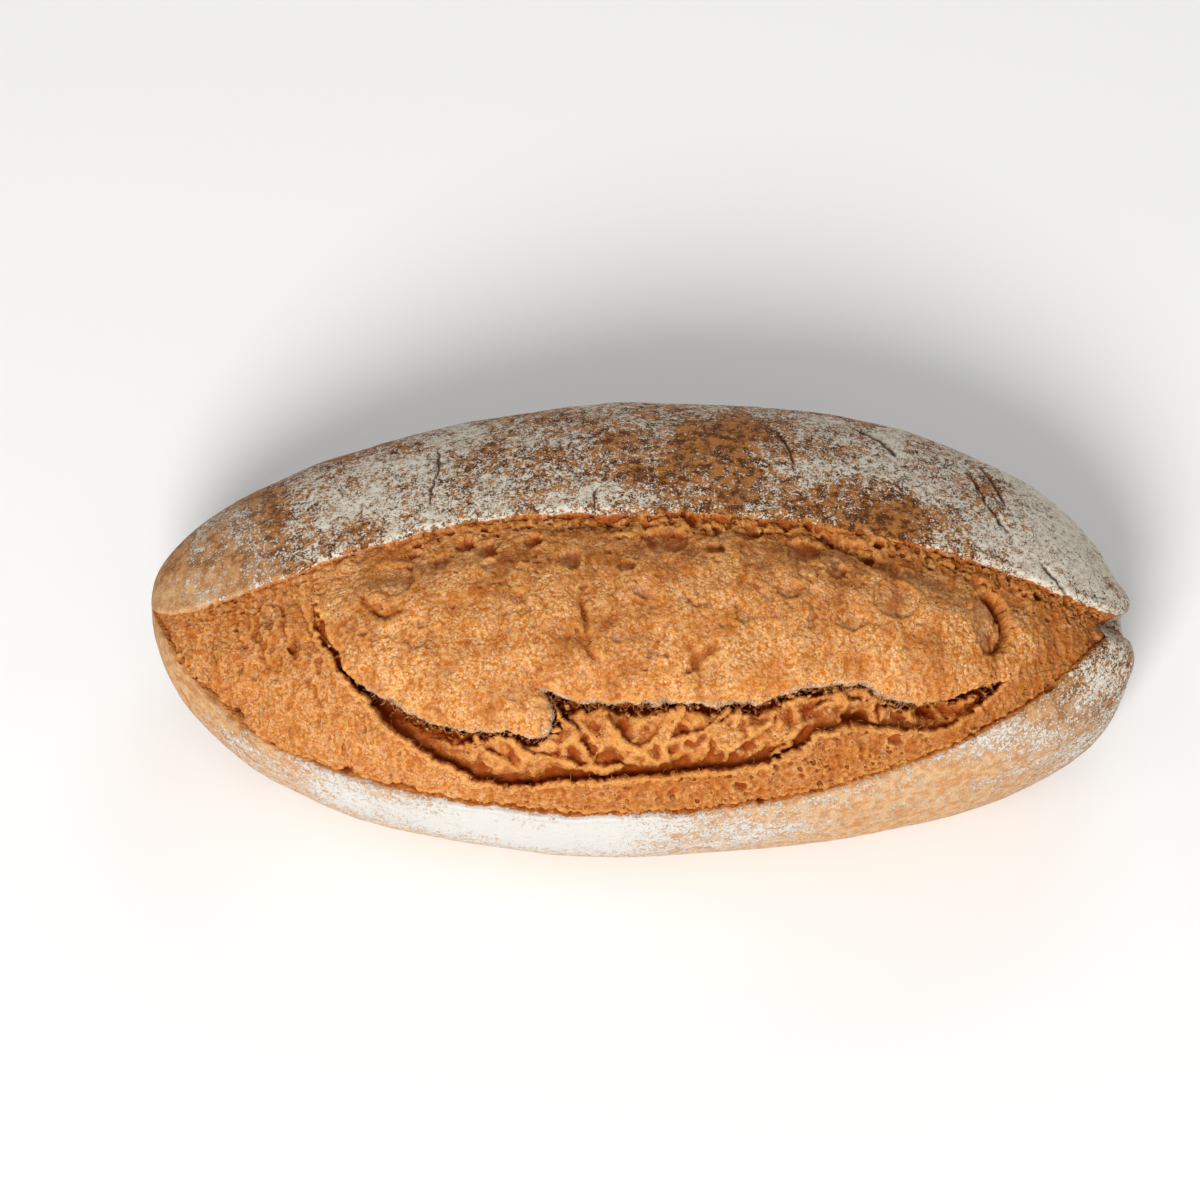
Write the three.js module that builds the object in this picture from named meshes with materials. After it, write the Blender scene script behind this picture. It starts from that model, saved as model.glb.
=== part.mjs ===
// A sourdough loaf: a long hand-shaped batard, baked as one solid piece.
// X runs along the loaf, -Y is the side the loaf burst open on, +Z is up.
// The loaf is one closed mesh of rings set along X, pinched to a point at both ends.
import * as THREE from "three";

// Driving dimensions, in millimetres.
const LENGTH = 300;
const FRONT_REACH = 65; // from the long axis to the front side, at the middle
const BACK_REACH = 80; // from the long axis to the back side, at the middle
const SHOULDER_HEIGHT = 38; // height of the widest line at the middle
const TIP_HEIGHT = 35; // height of the two tips
const CROWN_RISE = 52; // from the widest line up to the top of the crust
const BASE_SHARE = 0.72; // part of each reach that lies flat on the oven floor
const FLAT_GIRTH = 0.8; // the base lifts where the loaf is slimmer than this share
const LEFT_BEND = 16; // how far the long axis swings back towards the left tip
const RIGHT_BEND = -8; // and forward towards the right tip

// How full each quarter of the outline is: 2 is an ellipse, higher is squarer.
const FRONT_LEFT = 2.3;
const FRONT_RIGHT = 1.75;
const BACK_LEFT = 1.65;
const BACK_RIGHT = 2.7;
const CROWN_FULLNESS = 0.92;

// The bloom: the torn, open band between the front crust and the back crust.
const LIP_RISE = 1.6; // how far the curled crust edges stand proud
const BLOOM_DROP = 2.4; // how far the torn crumb lies below the crust
const LOBE_RISE = 6; // the swollen lobe in the middle of the bloom
const TEAR_DEPTH = 10; // the deep tear below the lobe
const NOTCH_DEPTH = 6.5; // where the bloom runs out over the right tip
const NOTCH_WIDTH = 8;
const NOTCH_FLOOR = 43; // height that the notch reaches down to

// How finely the mesh is cut.
const RINGS = 76;
const BLOOM_STEPS = 17;
const BACK_STEPS = 12;
const UNDERCUT_STEPS = 4;
const FRONT_STEPS = 3;

const clamp = THREE.MathUtils.clamp;
const smooth = THREE.MathUtils.smoothstep;
const lerp = THREE.MathUtils.lerp;
const radians = THREE.MathUtils.degToRad;

// A soft hump of height 1 at centre, fading to nothing about two widths away.
function hump(value, centre, width) {
  const offset = (value - centre) / width;
  return Math.exp(-offset * offset);
}

// Outline of one quarter of the loaf from above, 1 at the middle and 0 at the tip.
function outline(s, leftFullness, rightFullness) {
  const fullness = s < 0 ? leftFullness : rightFullness;
  return Math.max(1 - Math.abs(s) ** fullness, 0) ** (1 / fullness);
}

// Girth angle, in degrees, of the front and the back edge of the bloom.
// 0 is the front shoulder, 90 the top and 180 the back shoulder.
function bloomEdges(s) {
  const a = Math.abs(s);
  if (s < 0) {
    return { front: 8 + 50 * a ** 14, back: 101 - 41 * a ** 3 };
  }
  return { front: 8 + 42 * a ** 2 + 38 * a ** 10, back: 101 - 6 * a ** 2 };
}

// Smooth body of the loaf: s runs from -1 to 1 along it, angle goes round it.
function bodyPoint(s, angle) {
  const front = FRONT_REACH * outline(s, FRONT_LEFT, FRONT_RIGHT);
  const back = BACK_REACH * outline(s, BACK_LEFT, BACK_RIGHT);
  const girth = (front / FRONT_REACH + back / BACK_REACH) / 2;
  const shoulder = lerp(SHOULDER_HEIGHT, TIP_HEIGHT, s * s);
  const axis = (s < 0 ? LEFT_BEND : RIGHT_BEND) * s * s;
  const cosine = Math.cos(radians(angle));
  const sine = Math.sin(radians(angle));
  const reach = cosine > 0 ? front : back;
  const side = -Math.sign(cosine) * reach;
  const across = Math.abs(cosine);
  if (sine >= 0) {
    const rise = CROWN_RISE * girth ** 0.95;
    const y = axis + side * across ** CROWN_FULLNESS;
    return new THREE.Vector3((s * LENGTH) / 2, y, shoulder + rise * sine);
  }
  // Below the shoulder the side rolls under to a flat base, which lifts at the tips.
  const lift = Math.max(0, 1 - girth / FLAT_GIRTH) ** 1.5;
  const drop = shoulder * (1 - lift);
  const y = axis + side * lerp(BASE_SHARE, 1, across);
  return new THREE.Vector3((s * LENGTH) / 2, y, shoulder + drop * sine);
}

// Height of the crumb and the crust edges over the smooth body.
// t crosses the bloom, 0 at its front edge and 1 at its back edge.
function relief(s, t) {
  const inside = smooth(t, 0, 0.07) * smooth(1 - t, 0, 0.07);
  const alongLobe = smooth(s, -0.7, -0.4) * (1 - smooth(s, 0.55, 0.85));
  const lobe = LOBE_RISE * alongLobe * hump(t, 0.64, 0.2);
  // The tear follows the lobe's foot, and climbs round its left end.
  const climb = Math.max(0, -0.3 - s);
  const tearCentre = 0.32 + 5 * climb * climb;
  const alongTear = smooth(s, -0.68, -0.5) * (1 - smooth(s, 0.5, 0.75));
  const tearWidth = 0.11 * Math.hypot(1, 4 * climb);
  const tear = TEAR_DEPTH * alongTear * hump(t, tearCentre, tearWidth);
  const lips = LIP_RISE * (hump(t, -0.02, 0.05) + hump(t, 1.02, 0.05));
  const fade = 1 - smooth(Math.abs(s), 0.93, 1);
  return fade * (inside * (lobe - BLOOM_DROP - tear) + lips);
}

// The groove that the bloom leaves where it runs out over the right tip.
function notchPull(point) {
  const nearTip = smooth(point.x, 0.43 * LENGTH, 0.485 * LENGTH);
  const axis = RIGHT_BEND + 5;
  const across = hump(point.y, axis, NOTCH_WIDTH / 2);
  const above = smooth(point.z, NOTCH_FLOOR - 3, NOTCH_FLOOR + 5);
  return NOTCH_DEPTH * nearTip * across * above;
}

// The girth stations of every ring: where each lies, and its place in the bloom.
function girthStations(s) {
  const edges = bloomEdges(s);
  const stations = [];
  const addSpan = (from, to, steps, toBloom) => {
    for (let i = 0; i < steps; i += 1) {
      const angle = lerp(from, to, i / steps);
      stations.push({ angle, t: toBloom(angle) });
    }
  };
  const spread = edges.back - edges.front;
  const bloomPlace = (angle) => (angle - edges.front) / spread;
  addSpan(edges.front, edges.back, BLOOM_STEPS, bloomPlace);
  addSpan(edges.back, 180, BACK_STEPS, bloomPlace);
  addSpan(180, 270, UNDERCUT_STEPS, () => 2);
  stations.push({ angle: 269.999, t: 2 });
  addSpan(-89.999, 0, UNDERCUT_STEPS, () => -1);
  addSpan(0, edges.front, FRONT_STEPS, bloomPlace);
  return stations;
}

// A point of the finished surface: the body, lifted along its own normal.
function loafPoint(s, station) {
  const step = 0.002;
  const point = bodyPoint(s, station.angle);
  const height = relief(s, station.t);
  if (height !== 0) {
    const along = bodyPoint(clamp(s + step, -1, 1), station.angle);
    along.sub(bodyPoint(clamp(s - step, -1, 1), station.angle));
    const round = bodyPoint(s, station.angle + 0.5).sub(bodyPoint(s, station.angle - 0.5));
    point.addScaledVector(along.cross(round).normalize(), height);
  }
  point.x -= notchPull(point);
  return point;
}

// Rings are closer together towards the tips, where the loaf turns in fast.
function loafGeometry() {
  const points = [bodyPoint(-1, 0)];
  for (let ring = 1; ring < RINGS; ring += 1) {
    const s = -Math.cos((Math.PI * ring) / RINGS);
    for (const station of girthStations(s)) {
      points.push(loafPoint(s, station));
    }
  }
  points.push(bodyPoint(1, 0));

  const girth = (points.length - 2) / (RINGS - 1);
  const last = points.length - 1;
  const triangles = [];
  for (let k = 0; k < girth; k += 1) {
    const next = (k + 1) % girth;
    triangles.push(0, 1 + k, 1 + next);
    for (let ring = 0; ring < RINGS - 2; ring += 1) {
      const near = 1 + ring * girth;
      const far = near + girth;
      triangles.push(near + k, far + k, near + next);
      triangles.push(near + next, far + k, far + next);
    }
    const end = last - girth;
    triangles.push(last, end + next, end + k);
  }

  const geometry = new THREE.BufferGeometry();
  const position = points.flatMap((point) => point.toArray());
  geometry.setAttribute("position", new THREE.Float32BufferAttribute(position, 3));
  geometry.setIndex(triangles);
  // The origin is the middle of the bounding box, on the surface the loaf rests on.
  geometry.computeBoundingBox();
  const box = geometry.boundingBox;
  const middle = box.getCenter(new THREE.Vector3());
  geometry.translate(-middle.x, -middle.y, -box.min.z);
  geometry.computeVertexNormals();
  return geometry;
}

const crust = new THREE.MeshStandardMaterial({
  color: 0xb97a41,
  roughness: 0.85,
  metalness: 0,
});

const loaf = new THREE.Mesh(loafGeometry(), crust);
loaf.name = "loaf";

const sourdoughLoaf = new THREE.Group();
sourdoughLoaf.add(loaf);

export default sourdoughLoaf;
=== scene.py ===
import math
from itertools import product

import bpy
import numpy as np
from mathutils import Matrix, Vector


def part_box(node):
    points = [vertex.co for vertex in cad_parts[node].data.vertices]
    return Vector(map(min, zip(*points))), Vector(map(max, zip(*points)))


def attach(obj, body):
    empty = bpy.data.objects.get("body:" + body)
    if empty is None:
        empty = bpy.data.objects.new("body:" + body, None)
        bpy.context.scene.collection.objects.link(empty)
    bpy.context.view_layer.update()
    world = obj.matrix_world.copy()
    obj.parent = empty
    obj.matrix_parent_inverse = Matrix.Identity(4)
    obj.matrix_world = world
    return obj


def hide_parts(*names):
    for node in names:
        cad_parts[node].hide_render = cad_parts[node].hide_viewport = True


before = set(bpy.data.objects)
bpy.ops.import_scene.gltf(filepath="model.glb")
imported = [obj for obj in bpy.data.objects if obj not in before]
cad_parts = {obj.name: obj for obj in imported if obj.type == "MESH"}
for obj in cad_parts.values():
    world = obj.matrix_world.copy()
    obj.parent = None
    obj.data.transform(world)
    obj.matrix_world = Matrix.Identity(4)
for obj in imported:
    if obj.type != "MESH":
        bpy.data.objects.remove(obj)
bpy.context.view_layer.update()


# ---- The studio ----
# A pale table under the loaf, a large soft box in front, a weaker one behind, and a pale room.
# The camera looks down at the torn side of the loaf through a long lens.

loaf_low, loaf_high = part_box("loaf")
loaf_middle = [(low + high) / 2 for low, high in zip(loaf_low, loaf_high)]
loaf_length = loaf_high[0] - loaf_low[0]
loaf_width = loaf_high[1] - loaf_low[1]
loaf_height = loaf_high[2] - loaf_low[2]

camera_lean = math.radians(60)
camera_lens = 135
sensor_width = 36
loaf_share_of_frame = 0.82
aim_left = 0.040 * loaf_length
aim_up = 0.028 * loaf_length
aim_to_front = 0.0444 * loaf_width

screen_up = Vector((0, math.sin(camera_lean), math.cos(camera_lean)))
towards_camera = Vector((0, -math.cos(camera_lean), math.sin(camera_lean)))
aim = Vector((-aim_left, loaf_middle[1] - aim_to_front, loaf_middle[2])) + aim_up * screen_up
camera_distance = loaf_length / loaf_share_of_frame * camera_lens / sensor_width
camera = bpy.data.objects.new("camera", bpy.data.cameras.new("camera"))
camera.data.lens = camera_lens
camera.data.sensor_width = sensor_width
camera.location = aim + camera_distance * towards_camera
camera.rotation_euler = (math.pi / 2 - camera_lean, 0, 0)
bpy.context.collection.objects.link(camera)
bpy.context.scene.camera = camera


def soft_box(name, place, size, watts, tint):
    lamp = bpy.data.lights.new(name, "AREA")
    lamp.shape = "DISK"
    lamp.size = size
    lamp.energy = watts
    lamp.color = tint
    box = bpy.data.objects.new(name, lamp)
    box.location = place
    box.rotation_euler = (Vector(place) - aim).to_track_quat("Z", "Y").to_euler()
    bpy.context.collection.objects.link(box)


soft_box("front_soft_box", (-0.35, -1.5, 1.15), 0.8, 36, (1, 0.985, 0.96))
soft_box("rear_soft_box", (0.5, 1.6, 0.9), 1.2, 6, (0.97, 0.985, 1))

room_strength = 0.42
room = bpy.data.worlds.new("pale_room")
room.use_nodes = True
room.node_tree.nodes["Background"].inputs["Color"].default_value = (1, 1, 1, 1)
room.node_tree.nodes["Background"].inputs["Strength"].default_value = room_strength
bpy.context.scene.world = room
bpy.context.scene.view_settings.view_transform = "Standard"
bpy.context.scene.view_settings.look = "None"

table_reach = 6
table_gap = 0.0002
table_corners = [(-1, -1), (1, -1), (1, 1), (-1, 1)]
table_corners = [(x * table_reach, y * table_reach, -table_gap) for x, y in table_corners]
table_mesh = bpy.data.meshes.new("table_top")
table_mesh.from_pydata(table_corners, [], [(0, 1, 2, 3)])
table = bpy.data.objects.new("table_top", table_mesh)
bpy.context.collection.objects.link(table)
table_paint = bpy.data.materials.new("pale_table")
table_paint.use_nodes = True
table_shader = table_paint.node_tree.nodes["Principled BSDF"]
table_shader.inputs["Base Color"].default_value = (0.93, 0.93, 0.93, 1)
table_shader.inputs["Roughness"].default_value = 0.9
table_mesh.materials.append(table_paint)


# ---- The loaf ----
# One hand-shaped sourdough batard, baked as one piece: a floured crust that burst open
# along its front into a torn bloom. It is a fine grid of rings set along the loaf. The crust,
# the swollen lobe, the tear below it and every pore are moved into that grid, then it is thinned.

MM = 0.001
half_length = loaf_length / 2 / MM
front_reach = 0.4444 * loaf_width / MM
back_reach = 0.547 * loaf_width / MM
shoulder_height = 0.4185 * loaf_height / MM
tip_height = 0.3855 * loaf_height / MM
crown_rise = 0.56 * loaf_height / MM
base_share = 0.72
flat_girth = 0.8
left_bend = 16
right_bend = -8
front_fullness = (2.3, 1.75)
back_fullness = (1.65, 2.7)
crown_fullness = 0.92


def smooth(value, low, high):
    """0 below low, 1 above high, with an eased step between."""
    f = np.clip((value - low) / (high - low), 0, 1)
    return f * f * (3 - 2 * f)


def hump(value, centre, width):
    """A bell, 1 at the centre and nearly 0 at twice the width from it."""
    return np.exp(-(((value - centre) / width) ** 2))


def scatter(cell, seed):
    """Three even random numbers from 0 to 1 for each whole-number cell."""
    c = cell.astype(np.int32).view(np.uint32)
    h = c[..., 0] * np.uint32(73856093) ^ c[..., 1] * np.uint32(19349663) ^ c[..., 2] * np.uint32(83492791)
    h = (h ^ np.uint32(seed * 2654435)) * np.uint32(1274126177)
    h = (h ^ h >> 15) * np.uint32(461845907)
    h = h ^ h >> 13
    return np.stack([h & 1023, h >> 10 & 1023, h >> 20 & 1023], -1) / np.float32(1023)


def noise(p, size, seed):
    """Soft three-dimensional noise, about -0.7 to 0.7, with bumps of the given size in mm."""
    q = (p / size).astype(np.float32)
    cell = np.floor(q)
    f = q - cell
    ease = f * f * f * (f * (f * 6 - 15) + 10)
    total = 0
    for corner in product((0, 1), repeat=3):
        pull = 2 * scatter(cell + corner, seed) - 1
        side = [ease[..., k] if corner[k] else 1 - ease[..., k] for k in range(3)]
        lift = sum(pull[..., k] * (f[..., k] - corner[k]) for k in range(3))
        total = total + side[0] * side[1] * side[2] * lift
    return total


def rough(p, size, seed, layers=3):
    """Noise with finer layers added, each half the size and half the height of the one before."""
    total = 0
    for layer in range(layers):
        total = total + noise(p, size / 2**layer, seed + layer) / 2**layer
    return total


def bubbles(p, size, seed):
    """Packed gas bubbles of the given size in mm. Gives the distance to the nearest and to the
    second nearest centre, in bubble sizes, and three even random numbers for the nearest one."""
    q = (p / size).astype(np.float32)
    cell = np.floor(q)
    near = np.full(q.shape[:-1], 9, np.float32)
    second = near.copy()
    luck = np.zeros(q.shape, np.float32)
    for corner in product((-1, 0, 1), repeat=3):
        here = cell + corner
        far = np.linalg.norm(here + scatter(here, seed) - q, axis=-1)
        closer = far < near
        second = np.where(closer, near, np.minimum(second, far))
        near = np.where(closer, far, near)
        luck[closer] = scatter(here[closer], seed + 7)
    return near, second, luck


def bowls(found, share, small, large):
    """Round burst bubbles: depth in bubble sizes, and a raised rim round each."""
    near, _, luck = found
    radius = small + (large - small) * luck[..., 0]
    radius = np.where(luck[..., 1] < share, radius, 1e-6)
    depth = np.sqrt(np.maximum(radius**2 - near**2, 0)) * (0.5 + luck[..., 2])
    rim = hump(near, radius * 1.1, 0.07) * (radius > 1e-3)
    return depth, rim


def films(found):
    """Thin walls left between bubbles, 1 on the wall and 0 inside the bubble."""
    near, second, _ = found
    return 1 - smooth(second - near, 0.02, 0.3)


def outline(s, fullness):
    """The loaf's half width at a place along it, as a share of its largest."""
    power = np.where(s < 0, fullness[0], fullness[1])
    return np.maximum(1 - np.abs(s) ** power, 0) ** (1 / power)


# The rings along the loaf, and the girth angle of the bloom's two edges at each ring:
# 0 degrees is the front shoulder, 90 the top and 180 the back shoulder.
ring_count = 880
s = -np.cos(math.pi * (np.arange(ring_count) + 0.5) / ring_count)[:, None]
away = np.abs(s)
wobble = 0.7 * np.sin(11 * s + 1) + 0.5 * np.sin(27 * s + 2) + 0.35 * np.sin(61 * s)
left_climb = 44 * away**14 + 8 * away**6
right_climb = 42 * away**2 + 70 * away**10
front_edge = 8 + np.where(s < 0, left_climb, right_climb) + wobble * (1 - away)
back_edge = 101 - np.where(s < 0, 41 * away**3, 6 * away**2 - 32 * away**30) - 0.5 * wobble * (1 - away)


def span(start, end, steps):
    """Even steps from start up to, and without, end, the same number on every ring."""
    return start + (end - start) * (np.arange(steps) / steps)[None, :]


# Round each ring: half the base, up the front, across the bloom, down the back, half the base.
steps = {"base": 8, "under": 24, "front": 26, "bloom": 220, "back": 84}
angle = np.hstack([
    span(-90 + 0 * s, -90, steps["base"]),
    span(-90 + 0 * s, 0, steps["under"]),
    span(0 * s, front_edge, steps["front"]),
    span(front_edge, back_edge, steps["bloom"]),
    span(back_edge, 180, steps["back"]),
    span(180 + 0 * s, 270, steps["under"]),
    span(270 + 0 * s, 270, steps["base"]),
])
first_bloom = steps["base"] + steps["under"] + steps["front"]
last_bloom = first_bloom + steps["bloom"]
across_base = np.zeros(angle.shape)
across_base[:, : steps["base"]] = span(0, -1, steps["base"])
across_base[:, -steps["base"] :] = span(1, 0, steps["base"])
on_base = np.zeros(angle.shape, bool)
on_base[:, : steps["base"]] = True
on_base[:, -steps["base"] :] = True

front = front_reach * outline(s, front_fullness)
back = back_reach * outline(s, back_fullness)
girth = (front / front_reach + back / back_reach) / 2
shoulder = shoulder_height + (tip_height - shoulder_height) * s * s
axis = np.where(s < 0, left_bend, right_bend) * s * s
drop = shoulder * (1 - np.maximum(0, 1 - girth / flat_girth) ** 1.5)
cosine = np.cos(np.radians(angle))
sine = np.sin(np.radians(angle))
side = np.where(cosine > 0, -front, back)
upper_y = side * np.abs(cosine) ** crown_fullness
upper_z = crown_rise * girth**0.95 * sine
lower_y = side * (base_share + (1 - base_share) * np.abs(cosine))
lower_z = drop * sine
base_y = base_share * ((back - front) / 2 + across_base * (back + front) / 2)
body_y = axis + np.where(on_base, base_y, np.where(sine >= 0, upper_y, lower_y))
body_z = shoulder + np.where(on_base, -drop, np.where(sine >= 0, upper_z, lower_z))
body = np.stack([s * half_length + 0 * angle, body_y, body_z], -1)


def unit(v):
    return v / np.maximum(np.linalg.norm(v, axis=-1, keepdims=True), 1e-9)


def directions(points):
    """Unit vectors along the loaf, round it and straight out of it, at every grid point."""
    along = unit(np.gradient(points, axis=0))
    round_it = unit(np.roll(points, -1, 1) - np.roll(points, 1, 1))
    return along, round_it, unit(np.cross(along, round_it))


# Where each point lies: mm round the girth from each bloom edge, and its place on the
# leaning plane that the bloom faces, across (to the right) and up (to the back). The lines
# and patches below are all given in mm across and up that plane, from the loaf's middle.
step = np.linalg.norm(np.diff(body, axis=1, append=body[:, :1]), axis=-1)
run = np.cumsum(step, axis=1) - step
from_front = run - run[:, first_bloom][:, None]
from_back = run[:, last_bloom][:, None] - run
across = body[..., 0]
up = body_y * math.sin(camera_lean) + (body_z - loaf_height / 2 / MM) * math.cos(camera_lean)
top_side = (angle < 172) & (angle > -60)
soft_ends = 1 - smooth(away, 0.93, 1)
in_bloom = smooth(from_front, -0.3, 0.9) * smooth(from_back, -0.3, 0.9)
bloom_zone = (from_front > -4) & (from_back > -4)
ragged = np.zeros(across.shape)
zone_points = body[bloom_zone]
ragged[bloom_zone] = (
    1.1 * noise(zone_points, 5, 31) + 0.8 * noise(zone_points, 2.2, 32) + 0.5 * noise(zone_points, 1.2, 33)
)


far_off = 99.0


def measure(points, loose=1.0, reach=12):
    """Distance in mm from a smooth line through the points, positive on its left, the way away
    from it, and how far along it. Its edge wanders by loose times the raggedness of the crumb.
    Points further from the line than reach are left far off."""
    ends = np.array(points, float)
    ends = np.vstack([2 * ends[0] - ends[1], ends, 2 * ends[-1] - ends[-2]])
    line = []
    for a, b, c, d in zip(ends, ends[1:], ends[2:], ends[3:]):
        for f in np.arange(0, 1, 0.2):
            curve = 2 * b + (c - a) * f + (2 * a - 5 * b + 4 * c - d) * f**2
            line.append(0.5 * (curve + (3 * b - a - 3 * c + d) * f**3))
    line.append(ends[-2])
    low, high = np.min(line, 0) - reach, np.max(line, 0) + reach
    near = top_side & (across > low[0]) & (across < high[0]) & (up > low[1]) & (up < high[1])
    x, u = across[near], up[near]
    best = np.full(x.shape, far_off)
    sign, way_x, way_up, progress = np.ones(x.shape), 0 * x, 0 * x, 0 * x
    for k in range(len(line) - 1):
        (ax, au), (bx, bu) = line[k], line[k + 1]
        dx, du = bx - ax, bu - au
        f = np.clip(((x - ax) * dx + (u - au) * du) / (dx * dx + du * du), 0, 1)
        px, pu = x - ax - f * dx, u - au - f * du
        away_here = np.hypot(px, pu)
        nearer = away_here < best
        best = np.where(nearer, away_here, best)
        sign = np.where(nearer, np.sign(dx * pu - du * px), sign)
        way_x = np.where(nearer, px, way_x)
        way_up = np.where(nearer, pu, way_up)
        progress = np.where(nearer, (k + f) / (len(line) - 1), progress)
    size = np.maximum(best, 1e-6) * sign
    distance = best * sign + loose * ragged[near]
    found = []
    for field, empty in ((distance, far_off), (way_x / size, 0), (way_up / size, 0), (progress, 0)):
        whole = np.full(across.shape, float(empty))
        whole[near] = field
        found.append(whole)
    return found


def tapered(progress):
    """0 at both ends of a line and 1 along its middle."""
    return smooth(progress, 0, 0.3) * (1 - smooth(progress, 0.7, 1))


# The lobe's torn foot and the edge of the shelf below it, with the deep tear between them.
foot, foot_x, foot_up, _ = measure(
    [(-104, 16), (-98, 10), (-93, -1), (-87, -12), (-81, -17), (-75, -20), (-67, -24), (-60, -27),
     (-49, -29), (-40, -29), (-31, -31), (-27, -28), (-27, -22), (-30, -17), (-25, -18), (-18, -21),
     (-12, -20), (-6, -21), (13, -20), (24, -21), (36, -20), (45, -17), (56, -15), (66, -15),
     (72, -18), (79, -21), (89, -20), (99, -17), (109, -15)],
    1.3, 120,
)
shelf, shelf_x, shelf_up, _ = measure(
    [(-105, 13), (-102, 7), (-98, 1), (-94, -6), (-88, -14), (-81, -22), (-75, -28), (-69, -33), (-62, -38),
     (-55, -42), (-47, -45), (-38, -47), (-21, -45), (-6, -44), (13, -43), (28, -41), (40, -39), (47, -36),
     (52, -31), (58, -29), (70, -29), (83, -30), (93, -28), (101, -23), (109, -16)],
    1.2, 120,
)
gap = np.minimum(-foot, shelf)
in_tear = smooth(gap, -0.2, 0.7)
above_foot = smooth(foot, -0.5, 1)

# Broad swellings of the bloom, in mm out from the smooth body.
lobe_reach = smooth(across, -104, -80) * (1 - smooth(across, 84, 114))
roundness = np.clip(foot / 15, 0, 1)
rounded_foot = np.sqrt(roundness * (2 - roundness))
lobe_rise = 5.1
bloom_sink = 1.4
swell = lobe_rise * lobe_reach * above_foot * rounded_foot * smooth(from_back, 2, 26) - bloom_sink
swell[bloom_zone] += 1.7 * rough(zone_points, 24, 3, 2) + 1.5 * rough(zone_points, 9, 5, 2)

# The tear: a slit under the lobe's foot, where films still bridge it, another behind the shelf,
# and between them a raised floor with folds of crumb standing up across it. All in mm.
foot_slit_width = 3.6
shelf_slit_width = 4.0
shelf_depth = 6.5
foot_depth = 4.5
fold_rise = 4.6
fold_lines = [
    [(-31, -16), (-25, -23), (-19, -31), (-14, -40)],
    [(-11, -21), (-9, -28), (-4, -34), (4, -38)],
    [(14, -21), (9, -29), (7, -35), (9, -41)],
    [(28, -21), (21, -30), (19, -38)],
    [(42, -21), (36, -29), (28, -34), (24, -40)],
    [(48, -28), (44, -34), (36, -40)],
    [(57, -15), (61, -22), (59, -29)],
    [(72, -18), (69, -23), (71, -29)],
    [(-50, -30), (-46, -36), (-36, -42)],
    [(-5, -39), (4, -33), (11, -21)],
    [(2, -34), (13, -32), (21, -29), (31, -23)],
    [(-27, -37), (-13, -41), (1, -38)],
    [(-40, -30), (-34, -37), (-22, -38)],
    [(51, -24), (58, -21), (66, -22)],
]
fold = np.zeros(across.shape)
for points in fold_lines:
    offset, _, _, progress = measure(points, 1.1)
    flap = np.where(offset > 0, 1 - smooth(offset, 0, 1.3), np.exp(offset / 2.2))
    fold = np.maximum(fold, flap * (np.abs(offset) < 14) * tapered(0.5 + 0.75 * (progress - 0.5)))
bend = np.stack([noise(zone_points, 6, 41), noise(zone_points, 6, 42), noise(zone_points, 6, 43)], -1)
bent_points = zone_points + 2.4 * bend
foam = bubbles(bent_points * [1, 0.8, 0.8], 8.5, 163)
holes = bubbles(bent_points, 3.6, 161)
left_share = (1 - smooth(across, -62, -40)) * smooth(across, -106, -90)
narrow_share = smooth(across, 50, 62)
foot_slit = foot_slit_width + 2.6 * left_share - 0.9 * narrow_share + 0.9 * ragged
foot_slit = foot_slit + 3.2 * noise(body * np.array([1, 0, 0]), 8, 24)
shelf_slit = shelf_slit_width - 1.4 * narrow_share + 2.4 * noise(body * np.array([1, 0, 0]), 9, 23)
floor_depth = shelf_depth + foot_depth * (1 - smooth(-foot, 2, 8)) - 2 * narrow_share
floor_depth = floor_depth * (0.3 * smooth(across, -101, -97) + 0.7 * smooth(across, -97, -80))
raised = np.zeros(across.shape)
foam_bowl = smooth(foam[1] - foam[0], 0, 0.7)
raised[bloom_zone] = 0.8 * films(foam) - 2.4 * foam_bowl + 1.8 * rough(bent_points, 6, 21)
raised = floor_depth - 4.9 + 1.6 * smooth(shelf, 4, 14) - 1.6 * left_share + raised + fold_rise * fold
fill = np.maximum(raised, 0) * smooth(-foot / foot_slit, 0.7, 1.2) * smooth(shelf / shelf_slit, 0.7, 1.2)
pillar = smooth(fold, 0.4, 0.8) * (floor_depth - 2.2) * smooth(-foot, -0.2, 1.0) * smooth(shelf, 0.2, 2.4)
fill = np.maximum(fill, pillar)
bridge = np.zeros(across.shape)
bridge[bloom_zone] = (1 - smooth(holes[1] - holes[0], 0.03, 0.14)) * (holes[2][..., 1] < 0.6)
fill = np.maximum(fill, 0.75 * bridge * floor_depth * smooth(-foot, 0.2, 1.2) * (1 - smooth(-foot, 3, 5)))
tear = in_tear * (floor_depth - np.minimum(fill, floor_depth - 0.6)) * smooth(across, -102, -96)


def patch(x, u, wide, high):
    """A soft patch on the leaning plane, 1 at its middle."""
    return np.exp(-(((across - x) / wide) ** 2) - ((up - u) / high) ** 2)


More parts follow.
